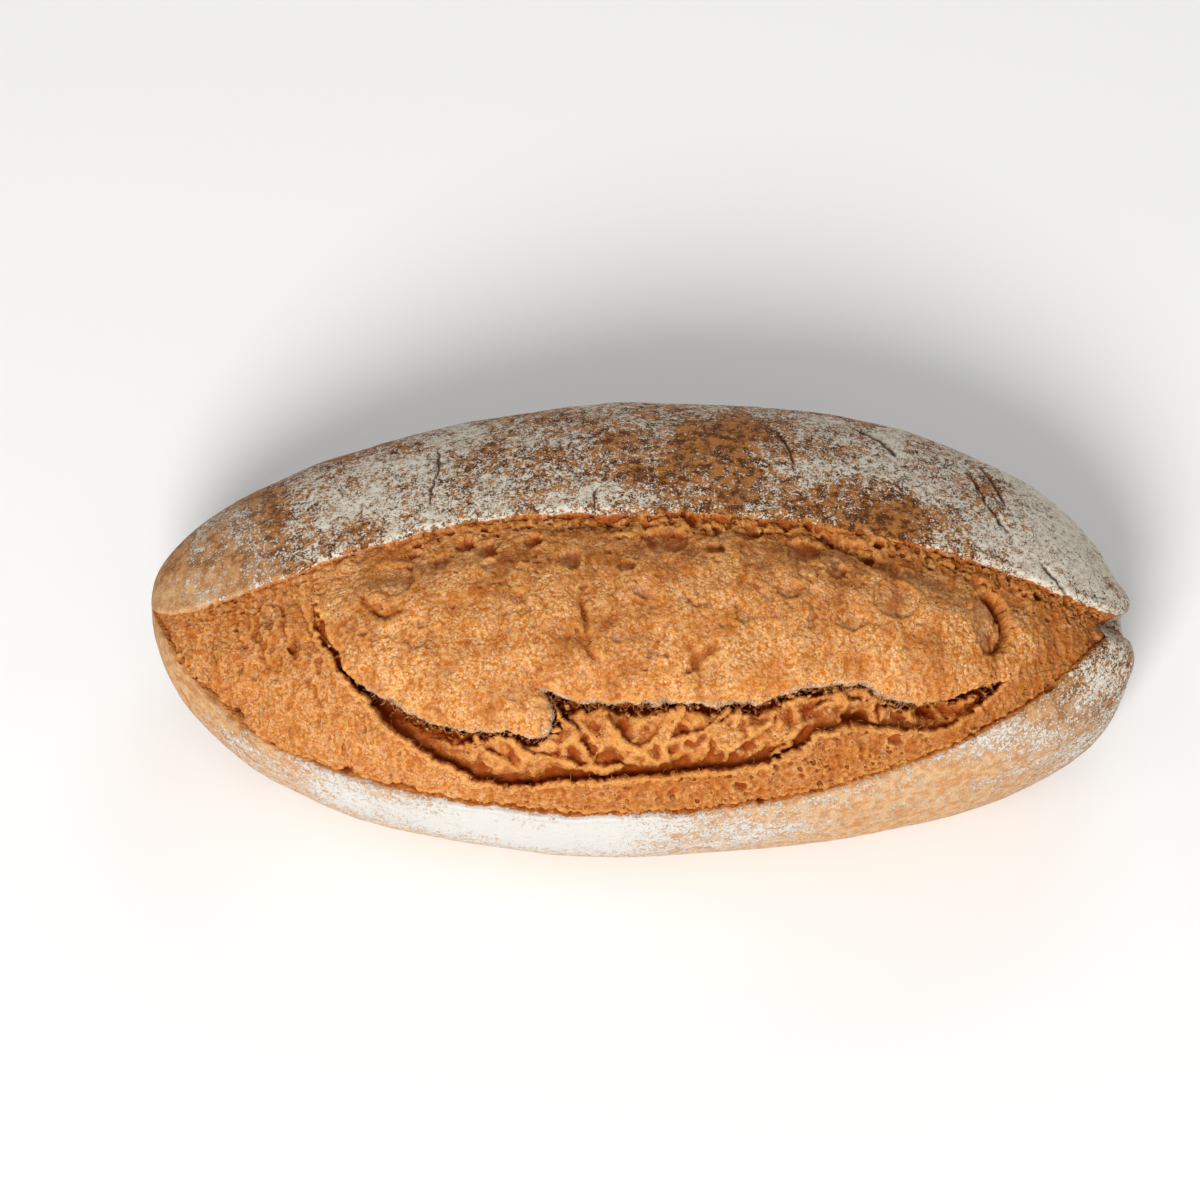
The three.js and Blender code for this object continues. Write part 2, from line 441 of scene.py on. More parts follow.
# Smaller hollows: a pocket below the back lip, star tears and a crescent in the lobe, wrinkles
# in the apron to its left, gaps behind the front lip and pits at the right end of the tear.
# Each has its line, its half width and its depth.
pocket_lines = [
    ([(47, 33), (60, 27), (70, 21), (80, 14)], 2.4, 3.4),
    ([(-84, 11), (-76, 4), (-68, 6)], 1.3, 2.4),
    ([(-18, 11), (-16, 3), (-16, -4), (-11, -12)], 1.1, 1.8),
    ([(-24, -4), (-18, -2), (-13, -6)], 2.3, 2.2),
    ([(24, -4), (17, -8), (13, -14)], 1.5, 1.8),
    ([(11, 12), (16, 6), (22, 9)], 1.0, 1.2),
    ([(-135, -14), (-128, -23), (-118, -28)], 1.1, 4.0),
    ([(-90, -42), (-80, -47), (-68, -51)], 1.0, 3.5),
    ([(-66, -51), (-55, -53)], 0.8, 2.5),
    ([(-109, 11), (-107, 0), (-103, -12)], 0.8, 1.2),
    ([(-116, 8), (-114, -3), (-111, -14)], 0.8, 1.0),
    ([(-122, 6), (-120, -8)], 0.7, 1.0),
    ([(-131, 0), (-128, -12)], 0.8, 1.0),
    ([(-105, 12), (-100, 2), (-95, -8)], 0.6, 0.8),
    ([(-99, -14), (-95, -24)], 0.7, 0.9),
    ([(101, 13), (107, 10), (110, 3), (108, -5), (102, -8)], 1.3, 4.5),
    ([(57, -23), (63, -27), (69, -25)], 2.0, 5.0),
    ([(80, -23), (88, -25), (97, -20)], 1.8, 5.0),
]
pocket = np.zeros(across.shape)
for points, half_width, depth in pocket_lines:
    offset, _, _, progress = measure(points, 1.1)
    pocket = np.maximum(pocket, depth * hump(offset, 0, half_width) * tapered(progress))

# Large burst bubbles: each one's place across and up, its half width, half height and depth.
burst_bubbles = [
    (104.5, 3, 6.5, 10.5, 2.6), (49, 24, 6, 4, 1.4), (8, 27, 7, 5, 1.3), (-46, 24, 4, 3.5, 1.5),
    (-21, 20, 4, 3.5, 1.5), (75, 8, 7, 6, 1.2), (-74, 15, 8, 6, 1.0), (-60, 20, 4, 3, 1.0),
    (32, 30, 5, 3, 1.3), (62, 3, 5, 4, 0.8), (-52, 26, 3, 2.4, 1.6), (-32, 27, 3, 2.4, 1.5),
    (22, 24, 3, 2.2, 1.5), (58, 17, 3.4, 2.6, 1.5), (-4, 18, 3, 2.2, 1.0), (44, 11, 4, 3, 1.2),
    (-36, 9, 3, 2.4, 0.7), (68, 22, 2.6, 2, 1.8), (-66, -3, 4, 3, 0.7), (30, 4, 3.4, 2.6, 0.8),
]
burst = np.zeros(across.shape)
burst_rim = np.zeros(across.shape)
for x, u, wide, high, depth in burst_bubbles:
    inside = 1 - ((across - x + 1.3 * ragged) / wide) ** 2 - ((up - u + ragged) / high) ** 2
    skewed = np.sqrt(np.maximum(inside, 0)) * (0.45 + 0.55 * smooth(across - x, -wide, wide))
    burst = np.maximum(burst, 1.8 * depth * skewed)
    burst_rim = np.maximum(burst_rim, hump(inside, -0.05, 0.17))

# The lips: thin crust edges, and below each a band of split layers that run along the loaf.
back_lip = 0.5 * hump(from_back, -0.8, 1.2) + 0.6 * hump(from_back, -6, 8)
front_lip = 0.7 * hump(from_front, -0.8, 1.4)
back_step = 1.2 * smooth(from_back, -0.15, 0.5) * (1 - smooth(from_back, 6, 20))
front_step = 3.1 * smooth(from_front, -0.15, 0.4) * (1 - smooth(from_front, 0.9, 2.4))


def threads(p, size, seed):
    """Thin raised threads with soft valleys between them, 0 to 1."""
    return np.clip(1 - 3.2 * np.abs(noise(p, size, seed)), 0, 1)


layers = np.zeros(across.shape)
zone_back, zone_front = from_back[bloom_zone], from_front[bloom_zone]
flaky = bent_points * np.array([0.09, 1, 1])
band = smooth(zone_back, 0, 0.8) * (1 - smooth(zone_back, 6, 13))
band = band * (0.3 + 0.7 * smooth(across[bloom_zone], -70, -10))
right_share = smooth(across[bloom_zone], 50, 85)
strip = 0.8 * threads(flaky, 3.0, 51) + 0.5 * threads(flaky, 1.7, 52) - 0.7
front_strip = 0.9 * (threads(flaky, 2.2, 53) - 0.6) * hump(zone_front, 2, 2.5)
layers[bloom_zone] = band * strip * (1 - 0.5 * right_share) + front_strip
apron = smooth(-foot, 0, 2) * smooth(-shelf, 0, 2) * in_bloom
left_apron = apron * (1 - smooth(across, -80, -40))
right_apron = in_bloom * smooth(across, 70, 100)
wrinkle = 0.9 * threads(bent_points * [1, 0.16, 0.16], 3.6, 55)
wrinkle = wrinkle + 0.35 * threads(bent_points * [1, 0.25, 0.25], 1.8, 56)
layers[bloom_zone] += 0.8 * (wrinkle - 0.6) * left_apron[bloom_zone]
fan = threads(bent_points * [1, 0.25, 0.25], 3.2, 58) + 0.4 * threads(bent_points * [1, 0.3, 0.3], 1.6, 59)
layers[bloom_zone] += (0.35 * fan - 0.2) * right_apron[bloom_zone]
crease = threads(bent_points * [0.8, 0.35, 0.35], 11, 61) ** 3 * above_foot[bloom_zone]
layers[bloom_zone] -= 0.7 * crease
shelf_rim = 0.8 * hump(shelf, -0.9, 1.0) * lobe_reach

height = in_bloom * (swell - pocket - burst + 0.45 * burst_rim - back_step - front_step + layers + shelf_rim)
height = (height + back_lip + front_lip) * soft_ends

# The crust: slow lumps from shaping, and thin cracks.
crust_side = 1 - in_bloom
lumps = 1.5 * noise(body, 46, 71) + 0.8 * noise(body, 19, 72) + 0.22 * rough(body, 5, 73, 2)
lumps = lumps * smooth(body_z, 0, 14)
crack_lines = [
    [(-62, 58), (-61, 50), (-63, 42), (-62, 34)],
    [(-13, 43), (-14, 39), (-13, 35)],
    [(41, 61), (45, 56), (47, 49)],
    [(63, 64), (70, 60), (76, 57), (80, 51)],
    [(100, 52), (104, 43), (107, 36), (114, 25)],
    [(104, 53), (109, 45), (112, 37)],
    [(120, 21), (125, 15), (131, 8)],
    [(-73, -50), (-71, -53)],
]
crack = np.zeros(across.shape)
for points in crack_lines:
    offset, _, _, progress = measure(points, 0, 6)
    jagged = 1.3 * noise(body, 3.5, 86) + 0.6 * noise(body, 1.3, 87) if len(points) > 3 else 0.8 * ragged
    crack = np.maximum(crack, hump(offset + jagged, 0, 0.55) * tapered(0.5 + 0.8 * (progress - 0.5)))
crack = crack * crust_side * top_side
height = height + crust_side * (lumps - crack)

# Overhangs: the lobe leans out over the tear, and the crust edges lean over the bloom.
along, round_it, out = directions(body)
facing = np.array([0, -math.cos(camera_lean), math.sin(camera_lean)])
lean = (-1.2 * hump(foot, 1.5, 2.6) + 0.3 * hump(foot, -2.2, 1.8)) * in_bloom * lobe_reach
lean = lean * (0.15 + 0.85 * smooth(across, -84, -62))
undercut = -0.3 * hump(shelf, 2.0, 1.6) * in_bloom * lobe_reach
lip_lean = -0.5 * hump(from_back, -0.5, 1.0) + 0.5 * hump(from_back, 1.3, 0.9)
lip_lean = lip_lean + 0.5 * hump(from_front, -0.5, 1.0) - 0.7 * hump(from_front, 1.1, 0.8)
shift_x = lean * foot_x + undercut * shelf_x
shift_up = lean * foot_up + undercut * shelf_up + lip_lean
shifted = body + out * height[..., None] - facing * (tear * in_bloom * soft_ends)[..., None]
shifted = shifted + (along * shift_x[..., None] + round_it * shift_up[..., None]) * soft_ends[..., None]

# The notch where the bloom runs out over the right tip.
near_tip = smooth(shifted[..., 0], 0.9 * half_length, 0.985 * half_length) * smooth(shifted[..., 2], 30, 40)
tip_rise = (shifted[..., 2] - loaf_height / 2 / MM) * math.cos(camera_lean)
tip_up = shifted[..., 1] * math.sin(camera_lean) + tip_rise + 0.7 * noise(body, 3, 91)
flare = 2.4 * hump(tip_up, 9, 4.5) + 1.4 * hump(tip_up, -8, 6)
notch_depth = 7.5
shifted[..., 0] += near_tip * (flare - notch_depth * hump(tip_up, 1.0, 2.8))

# Pores and the shaggy grain of the torn crumb, driven into the walls of the tear as well.
_, _, out = directions(shifted)
crumb = smooth(from_front, -0.2, 0.4) * smooth(from_back, 0.1, 0.6)
zone_shifted = shifted[bloom_zone]
warp = [1.5 * noise(zone_shifted, 3.6, 101 + k) + 0.5 * noise(zone_shifted, 1.6, 105 + k) for k in range(3)]
grain_at = zone_shifted + np.stack(warp, -1)
zone_apron = left_apron[bloom_zone]
open_crumb = 0.85 * hump(from_back, 3, 6) * smooth(across, -90, -30) + 0.3 * in_tear + 0.2 * hump(foot, 2, 3)
open_crumb = open_crumb + 0.55 * smooth(-shelf, 0, 1) * smooth(across, -70, -30) * (1 - right_apron)
foamy = np.clip(0.08 + open_crumb, 0, 1)[bloom_zone]
pored = np.clip(0.12 + 1.1 * open_crumb + 0.2 * patch(50, 14, 26, 14) + 0.15 * right_apron, 0, 1)
large_at, small_at = bubbles(grain_at * [0.85, 1, 1], 5.2, 111), bubbles(grain_at, 2.3, 121)
large_bowl, large_rim = bowls(large_at, 0.14 + 0.4 * foamy, 0.18, 0.45)
small_bowl, small_rim = bowls(small_at, 0.4 + 0.4 * foamy, 0.2, 0.5)
slot_share = 0.22 * zone_apron + 0.8 * patch(-120, 1, 24, 14)[bloom_zone]
slot_share = slot_share + 0.3 * patch(128, -2, 18, 14)[bloom_zone]
slot_bowl, slot_rim = bowls(bubbles(grain_at * [1, 0.36, 0.36], 3.4, 135), slot_share, 0.2, 0.5)
pore_depth = np.maximum((2.8 + 3.0 * foamy) * large_bowl, (1.3 + 1.2 * foamy) * small_bowl)
pore_depth = np.maximum(pore_depth, 2.8 * slot_bowl)
pore_rim = 0.35 * large_rim + 0.22 * small_rim + 0.3 * slot_rim
foam_walls = 0.45 * (films(large_at) - 0.2) * foamy + 0.3 * films(small_at) * (0.4 + 0.6 * foamy)
lying = threads(grain_at * [0.35, 1, 1], 1.9, 145)
hanging = threads(grain_at * [1, 0.4, 0.4], 1.9, 146)
lying_share = np.clip(hump(zone_back, 4, 7) + hump(zone_front, 2, 5), 0, 1)
lying_share = lying_share * (1 - 0.8 * right_apron[bloom_zone])
fibre = hanging + (lying - hanging) * lying_share
grain = (0.4 + 0.3 * lying_share) * fibre + 0.25 * noise(zone_shifted, 1.3, 143)
grain = grain + (0.4 - 0.2 * lying_share) * rough(zone_shifted, 2.4, 141, 2)
calm = (1 - 0.4 * smooth(burst, 0.1, 0.6) - 0.4 * in_tear)[bloom_zone]
detail = np.zeros(across.shape)
detail[bloom_zone] = (grain - pore_depth + pore_rim + foam_walls) * calm
detail = detail * crumb * soft_ends
surface = shifted + out * detail[..., None]


def blur(field, reach):
    """The mean of a field over reach grid steps each way."""
    width = 2 * reach + 1
    total = np.cumsum(np.pad(field, ((reach + 1, reach), (0, 0)), mode="edge"), axis=0)
    field = (total[width:] - total[:-width]) / width
    total = np.cumsum(np.pad(field, ((0, 0), (reach + 1, reach)), mode="edge"), axis=1)
    return (total[:, width:] - total[:, :-width]) / width


# Masks that the crust and crumb colours read: where the oven baked the crumb darker or burnt it, painted
# shade in hollows, pores and the tear, and painted highlights on ridges.
relief = height - tear + detail
busy = np.ones(across.shape)
busy[bloom_zone] = 0.6 + 0.5 * foamy
# Painted highlights: raised crumb is made lighter than the crumb round it.
ridge_highlight = np.clip((relief - blur(relief, 3)) / 0.6, 0, 1)
# Painted shade: crumb lying below the crumb round it, deep in the tear and in pores is made darker. The burnt
# crevice behind the front lip is real dark crust.
shade_and_burn = np.clip((blur(relief, 4) - relief - 0.05) / 1.1, 0, 1) * busy + 0.9 * smooth(tear, 4, 8.5)
burnt = hump(from_front, 0.9, 0.8) * smooth(rough(body * np.array([0.5, 1, 1]), 9, 161, 2), -0.25, 0.2)
shade_and_burn = shade_and_burn + burnt * in_bloom
shade_and_burn[bloom_zone] += 0.45 * smooth(pore_depth, 0.6, 1.8) * smooth(foamy, 0.05, 0.5)
shade_and_burn = shade_and_burn + 0.7 * in_tear * np.clip((blur(relief, 9) - relief) / 2.2, 0, 1)
# Painted highlights on the crests of the folds across the tear.
ridge_highlight = np.maximum(ridge_highlight, in_tear * np.clip((relief - blur(relief, 7)) / 1.6, 0, 1))
film = np.zeros(across.shape)
film[bloom_zone] = np.clip(np.maximum(large_bowl, small_bowl) / 0.25, 0, 1) * (1 - foamy)
film = film + 0.35 * smooth(burst, 0.3, 1.2)
under_lobe = hump(foot, 0.4, 1.5) * lobe_reach * smooth(across, -90, -78) * (1 - smooth(across, 76, 92))
browned_and_shade = hump(from_back, 2.5, 5) * (0.4 + 0.6 * smooth(across, -50, 10)) + 1.1 * hump(from_front, 0.6, 1.6)
browned_and_shade = browned_and_shade + 0.1 * smooth(across, 60, 120) + 1.3 * np.clip(pocket, 0, 1) + 0.15 * left_apron
# Painted shade: the crumb is darker all through the tear, most along the shelf slit and at its left end.
tear_shade = 0.6 + 0.85 * hump(shelf, 0.5, 2.6) + 0.4 * left_share
browned_and_shade = browned_and_shade + in_tear * smooth(across, -102, -94) * tear_shade + 0.5 * apron
browned_and_shade = browned_and_shade + 0.75 * in_bloom * smooth(-shelf, 0, 1) * smooth(across, -60, -20)
# Painted shade in the creases; the split layers under the back lip take real browning.
browned_and_shade[bloom_zone] += 0.8 * crease + 0.7 * band * (1 - threads(flaky, 1.5, 152))
browned_and_shade = browned_and_shade + 1.1 * patch(-17, -3, 5, 3.5) + 0.7 * patch(17, -8, 4, 3) + 0.6 * patch(-74, 5, 6, 3)
browned_and_shade = browned_and_shade + 0.9 * burst_rim
veins = threads(bent_points * [1, 0.6, 0.6], 13, 171) ** 2
veins = veins * smooth(rough(zone_points, 25, 172, 2), -0.15, 0.25)
scorched = smooth(rough(bent_points, 9, 173), -0.1, 0.35) * smooth(up[bloom_zone], -8, 20)
browned_and_shade[bloom_zone] += (0.8 * veins + 0.75 * scorched) * above_foot[bloom_zone]
# More painted shade in burst bubbles towards the top of the lobe.
shade_and_burn = shade_and_burn + 0.35 * smooth(burst, 0.5, 1.8) * smooth(up, 12, 20)
browned_and_shade[bloom_zone] *= 0.75 + 0.7 * rough(zone_points, 3, 159, 2)

# Flour: how thickly it lies on the back crust, the front crust and the base. Under it the
# crust is a paler tan along the front and at the left end.
slow = rough(body, 34, 151)
middle = rough(body, 12, 155)
back_flour = 0.5 + 0.55 * slow + 0.75 * middle
back_flour = back_flour + 0.3 * patch(-70, 42, 45, 16) + 0.35 * patch(95, 52, 45, 14)
back_flour = back_flour - 0.5 * patch(-114, 36, 15, 12) - 0.55 * patch(20, 50, 26, 16)
back_flour = back_flour - 0.6 * patch(85, 34, 24, 9) - 3.6 * patch(-156, 2, 18, 32)
back_flour = back_flour + 0.65 * patch(134, 24, 26, 24)
front_flour = 0.38 + 0.5 * slow + 0.55 * rough(body * np.array([0.4, 1, 1]), 9, 157)
front_flour = front_flour + 0.9 * patch(-40, -58, 62, 12) - 0.4 * patch(75, -55, 45, 16)
front_flour = front_flour - 1.5 * patch(-148, -12, 16, 22) + 0.4 * patch(146, -12, 12, 16)
flour = np.where(angle > 90, back_flour, front_flour)
flour = np.where((sine < 0) & ~on_base, flour * smooth(body_z, 2, 30) + 0.2, flour)
flour = np.where(on_base, 0.42 + 0.7 * slow, flour)
left_tan = smooth(-across, 96, 132) * np.where(angle > 90, 0.4, 0.85) * ~on_base
bare_tan = np.maximum(smooth(-body_y - 0.15 * body_z, 8, 38), left_tan)

# The mesh: quads between the rings, and a fan at each tip.
ring_size = angle.shape[1]
tips = np.array([[-half_length, left_bend, tip_height], [half_length, right_bend, tip_height]])
points = np.vstack([surface.reshape(-1, 3), tips])
points[:, 1] -= (points[:, 1].max() + points[:, 1].min()) / 2 - loaf_middle[1] / MM
index = np.arange(ring_count * ring_size).reshape(ring_count, ring_size)
turned = np.roll(index, -1, 1)
quads = np.stack([index[:-1], index[1:], turned[1:], turned[:-1]], -1).reshape(-1, 4)
tip_number = ring_count * ring_size
left_fan = np.stack([np.full(ring_size, tip_number), index[0], turned[0]], -1)
right_fan = np.stack([np.full(ring_size, tip_number + 1), turned[-1], index[-1]], -1)
corner_points = np.concatenate([quads.ravel(), left_fan.ravel(), right_fan.ravel()])
fan_count = 2 * ring_size
starts = np.concatenate([4 * np.arange(len(quads)), 4 * len(quads) + 3 * np.arange(fan_count)])

loaf_mesh = bpy.data.meshes.new("sourdough_loaf")
loaf_mesh.vertices.add(len(points))
loaf_mesh.vertices.foreach_set("co", (points * MM).ravel())
loaf_mesh.loops.add(len(corner_points))
loaf_mesh.loops.foreach_set("vertex_index", corner_points)
loaf_mesh.polygons.add(len(starts))
loaf_mesh.polygons.foreach_set("loop_start", starts)
loaf_mesh.update(calc_edges=True)
loaf_mesh.polygons.foreach_set("use_smooth", np.ones(len(starts), bool))

# A flat skin for baking colours: along the loaf one way, round its girth the other.
girth_share = np.cumsum(np.mean(step, 0)) / np.sum(np.mean(step, 0))
girth_share = np.concatenate([[0], girth_share])
ring_share = (np.arange(ring_count) + 0.5) / ring_count
lower, higher = girth_share[:-1], girth_share[1:]
quad_u = np.stack([ring_share[:-1], ring_share[1:], ring_share[1:], ring_share[:-1]], -1)
quad_v = np.stack([lower, lower, higher, higher], -1)
skin_u = np.broadcast_to(quad_u[:, None, :], (ring_count - 1, ring_size, 4)).ravel()
skin_v = np.broadcast_to(quad_v[None, :, :], (ring_count - 1, ring_size, 4)).ravel()
centre_v = (lower + higher) / 2
left_end = ring_share[0] + 0 * lower
right_end = ring_share[-1] + 0 * lower
left_fan_u = np.stack([0 * lower, left_end, left_end], -1)
right_fan_u = np.stack([1 + 0 * lower, right_end, right_end], -1)
fan_u = np.concatenate([left_fan_u.ravel(), right_fan_u.ravel()])
left_fan_v = np.stack([centre_v, lower, higher], -1)
right_fan_v = np.stack([centre_v, higher, lower], -1)
fan_v = np.concatenate([left_fan_v.ravel(), right_fan_v.ravel()])
skin = np.stack([np.concatenate([skin_u, fan_u]), np.concatenate([skin_v, fan_v])], -1)
skin_margin = 0.004
skin = skin_margin + (1 - 2 * skin_margin) * skin
loaf_mesh.uv_layers.new(name="OFBake").data.foreach_set("uv", skin.ravel())

# The marks that the materials and the scattered fibres and clumps read, kept on the mesh.
fringe = (hump(foot, 0.5, 1.0) + 0.5 * hump(shelf, -0.6, 0.8)) * lobe_reach * in_bloom
fringe = fringe * smooth(across, -88, -78) * (1 - smooth(across, 84, 96))
clumps = crust_side * smooth(flour, 0.3, 0.8) * (angle < 60) * (angle > -40) * smooth(across, 30, 80)
marks = {
    "crumb": crumb, "shade_and_burn": np.clip(shade_and_burn, 0, 1.6), "ridge_highlight": ridge_highlight, "under_lobe": under_lobe,
    "browned_and_shade": np.clip(browned_and_shade, 0, 1), "flour": flour, "tan": bare_tan, "crack": crack,
    "fringe": fringe, "clumps": clumps, "film": film, "pored": pored * in_bloom,
}
for name, field in marks.items():
    values = np.concatenate([field.ravel(), [field[0].mean(), field[-1].mean()]])
    loaf_mesh.attributes.new(name, "FLOAT", "POINT").data.foreach_set("value", values.astype(np.float32))

loaf = bpy.data.objects.new("sourdough_loaf", loaf_mesh)
bpy.context.collection.objects.link(loaf)
triangle_budget = 198000
thin = loaf.modifiers.new("thin", "DECIMATE")
thin.ratio = triangle_budget / (2 * len(quads) + fan_count)
graph = bpy.context.evaluated_depsgraph_get()
thinned = bpy.data.meshes.new_from_object(
    loaf.evaluated_get(graph), preserve_all_data_layers=True, depsgraph=graph
)
loaf.modifiers.clear()
loaf.data = thinned
thinned.name = "sourdough_loaf"


def paint(red, green, blue):
    """A colour given as it looks, 0 to 255, made linear for the shader."""
    parts = [c / 255 for c in (red, green, blue)]
    return (*[c / 12.92 if c <= 0.04045 else ((c + 0.055) / 1.055) ** 2.4 for c in parts], 1)


class Nodes:
    """Short ways to add and join shader nodes in one tree."""

    def __init__(self, tree):
        self.tree = tree

    def add(self, kind, **settings):
        made = self.tree.nodes.new(kind)
        for name, value in settings.items():
            setattr(made, name, value)
        return made

    def put(self, socket, value):
        if isinstance(value, bpy.types.NodeSocket):
            self.tree.links.new(value, socket)
        else:
            socket.default_value = value

    def fill(self, made, **values):
        for name, value in values.items():
            self.put(made.inputs[name.replace("_", " ")], value)

    def sum(self, kind, a, b=0.0, clamp=False):
        made = self.add("ShaderNodeMath", operation=kind, use_clamp=clamp)
        self.put(made.inputs[0], a)
        self.put(made.inputs[1], b)
        return made.outputs[0]

    def ease(self, value, low, high, start=0.0, end=1.0):
        made = self.add("ShaderNodeMapRange", interpolation_type="SMOOTHSTEP")
        self.fill(made, Value=value, From_Min=low, From_Max=high, To_Min=start, To_Max=end)
        return made.outputs["Result"]

    def blend(self, share, first, second):
        made = self.add("ShaderNodeMix", data_type="RGBA")
        self.put(made.inputs["Factor"], share)
        self.put(made.inputs[6], first)
        self.put(made.inputs[7], second)
        return made.outputs[2]

    def between(self, share, first, second):
        made = self.add("ShaderNodeMix", data_type="FLOAT")
        self.put(made.inputs["Factor"], share)
        self.put(made.inputs[2], first)
        self.put(made.inputs[3], second)
        return made.outputs[0]

    def cloud(self, place, scale, detail=3.0, roughness=0.6):
        made = self.add("ShaderNodeTexNoise")
        self.fill(made, Vector=place, Scale=scale, Detail=detail, Roughness=roughness)
        return made.outputs["Fac"]

    def crooked(self, place, scale, reach):
        """The same place pushed about by noise, so that cells lose their straight edges."""
        push = self.add("ShaderNodeTexNoise")
        self.fill(push, Vector=place, Scale=scale)
        moved = self.add("ShaderNodeVectorMath", operation="MULTIPLY_ADD")
        self.put(moved.inputs[0], push.outputs["Color"])
        moved.inputs[1].default_value = (reach, reach, reach)
        self.put(moved.inputs[2], place)
        return moved.outputs["Vector"]

    def spots(self, place, scale, kind="F1"):
        made = self.add("ShaderNodeTexVoronoi", feature=kind)
        self.fill(made, Vector=place, Scale=scale)
        return made.outputs["Distance"]

    def mark(self, name):
        return self.add("ShaderNodeAttribute", attribute_name=name).outputs["Fac"]

    def place(self):
        return self.add("ShaderNodeTexCoord").outputs["Object"]

    def shared(self, group):
        return self.add("ShaderNodeGroup", node_tree=group)


def new_group(name, inputs, outputs):
    """An empty shader group with named number inputs and named outputs."""
    group = bpy.data.node_groups.new(name, "ShaderNodeTree")
    for label, start in inputs:
        group.interface.new_socket(label, in_out="INPUT", socket_type="NodeSocketFloat").default_value = start
    for label, kind in outputs:
        group.interface.new_socket(label, in_out="OUTPUT", socket_type=kind)
    g = Nodes(group)
    return g, g.add("NodeGroupInput").outputs, g.add("NodeGroupOutput").inputs


# Toasted crumb, shared with the fibres: cream films of gluten between orange threads, and fine
# pores where they are asked for, each painted dark inside as shade with a painted highlight round it.
# Its relief, like the flour's below, is in metres.
g, given, result = new_group(
    "toasted_crumb", [("Browning", 0.0), ("Film", 0.0), ("Pores", 0.0)],
    [("Color", "NodeSocketColor"), ("Height", "NodeSocketFloat"), ("Grain", "NodeSocketFloat")],
)
crumb_place = g.place()
film_spots = g.spots(g.crooked(crumb_place, 700, 0.0011), 780)
grain_wide = g.cloud(crumb_place, 760, 3, 0.75)
patchy = g.cloud(crumb_place, 150, 4, 0.7)
grain_fine = g.cloud(crumb_place, 1700, 3, 0.7)
slow_tone = g.cloud(crumb_place, 55, 4, 0.65)
toasted = g.blend(g.ease(grain_wide, 0.4, 0.6), paint(186, 106, 22), paint(228, 176, 114))
toasted = g.blend(g.ease(patchy, 0.5, 0.66, 0, 0.6), toasted, paint(182, 98, 22))
cream = g.sum("MULTIPLY", g.ease(film_spots, 0.5, 0.2), g.ease(patchy, 0.62, 0.42, 0.2, 1))
cream = g.sum("MAXIMUM", g.sum("MULTIPLY", cream, 0.95), g.sum("MULTIPLY", given["Film"], 0.4))
toasted = g.blend(cream, toasted, paint(236, 196, 156))
toasted = g.blend(g.ease(slow_tone, 0.46, 0.66, 0, 0.55), toasted, paint(184, 100, 30))
toasted = g.blend(g.ease(grain_fine, 0.45, 0.32, 0, 0.85), toasted, paint(166, 80, 4))
# Baked colour of the crumb; on the loaf this also carries painted shade in the tear and its creases.
toasted = g.blend(g.sum("MULTIPLY", given["Browning"], 0.7, True), toasted, paint(152, 74, 8))
pore_at = g.crooked(crumb_place, 380, 0.0024)
pore_reach = g.sum("MULTIPLY", given["Pores"], g.ease(g.cloud(crumb_place, 300, 2), 0.36, 0.6, 0.1, 0.42))
pore_edge = g.sum("SUBTRACT", g.spots(pore_at, 320), pore_reach)
pore_mask = g.ease(pore_edge, 0.02, -0.08)
# A painted highlight round each pore, then painted shade inside it.
toasted = g.blend(g.ease(pore_edge, 0.16, 0.05, 0, 0.35), toasted, paint(238, 172, 96))
toasted = g.blend(g.sum("MULTIPLY", pore_mask, 0.9), toasted, paint(118, 48, 4))
g.put(result["Color"], toasted)
thread_height = g.sum("MULTIPLY", g.ease(film_spots, 0, 0.6), 0.00025)
crumb_height = g.sum("ADD", g.sum("MULTIPLY", grain_wide, 0.0005), g.sum("MULTIPLY", grain_fine, 0.0002))
crumb_height = g.sum("SUBTRACT", crumb_height, g.sum("MULTIPLY", pore_mask, 0.0007))
g.put(result["Height"], g.sum("ADD", crumb_height, thread_height))
g.put(result["Grain"], grain_fine)
toasted_crumb = g.tree

# Flour baked on to the crust, shared with the loose clumps: fine specks that gather in patches.
g, given, result = new_group(
    "baked_flour", [("Amount", 0.5), ("Whiteness", 0.0)],
    [("Color", "NodeSocketColor"), ("Mask", "NodeSocketFloat"), ("Height", "NodeSocketFloat")],
)
flour_place = g.place()
speck_fine = g.cloud(flour_place, 1400, 2, 0.9)
speck_wide = g.cloud(flour_place, 480, 4, 0.8)
dust = g.sum("ADD", given["Amount"], g.sum("MULTIPLY", g.sum("SUBTRACT", speck_fine, 0.5), 3.8))
dust = g.sum("ADD", dust, g.sum("MULTIPLY", g.sum("SUBTRACT", speck_wide, 0.5), 3.4))
dusted = g.ease(dust, 0.48, 0.59)
flour_colour = g.blend(g.ease(speck_wide, 0.4, 0.62), paint(204, 193, 172), paint(230, 223, 208))
g.put(result["Color"], g.blend(given["Whiteness"], flour_colour, paint(211, 210, 206)))
g.put(result["Mask"], dusted)
sandy = g.sum("ADD", g.sum("MULTIPLY", dusted, 0.0002), g.sum("MULTIPLY", speck_fine, 0.0003))
g.put(result["Height"], g.sum("ADD", sandy, g.sum("MULTIPLY", speck_wide, 0.0006)))
baked_flour = g.tree

bread = bpy.data.materials.new("crust_and_crumb")
bread.use_nodes = True
shader = bread.node_tree.nodes["Principled BSDF"]
n = Nodes(bread.node_tree)
spot = n.place()

# The torn crumb: painted highlights on ridges, painted shade in hollows and down the tear, pale under the
# lobe's foot.
crumb_group = n.shared(toasted_crumb)
n.fill(crumb_group, Browning=n.mark("browned_and_shade"), Film=n.mark("film"), Pores=n.mark("pored"))
crumb_colour = crumb_group.outputs["Color"]
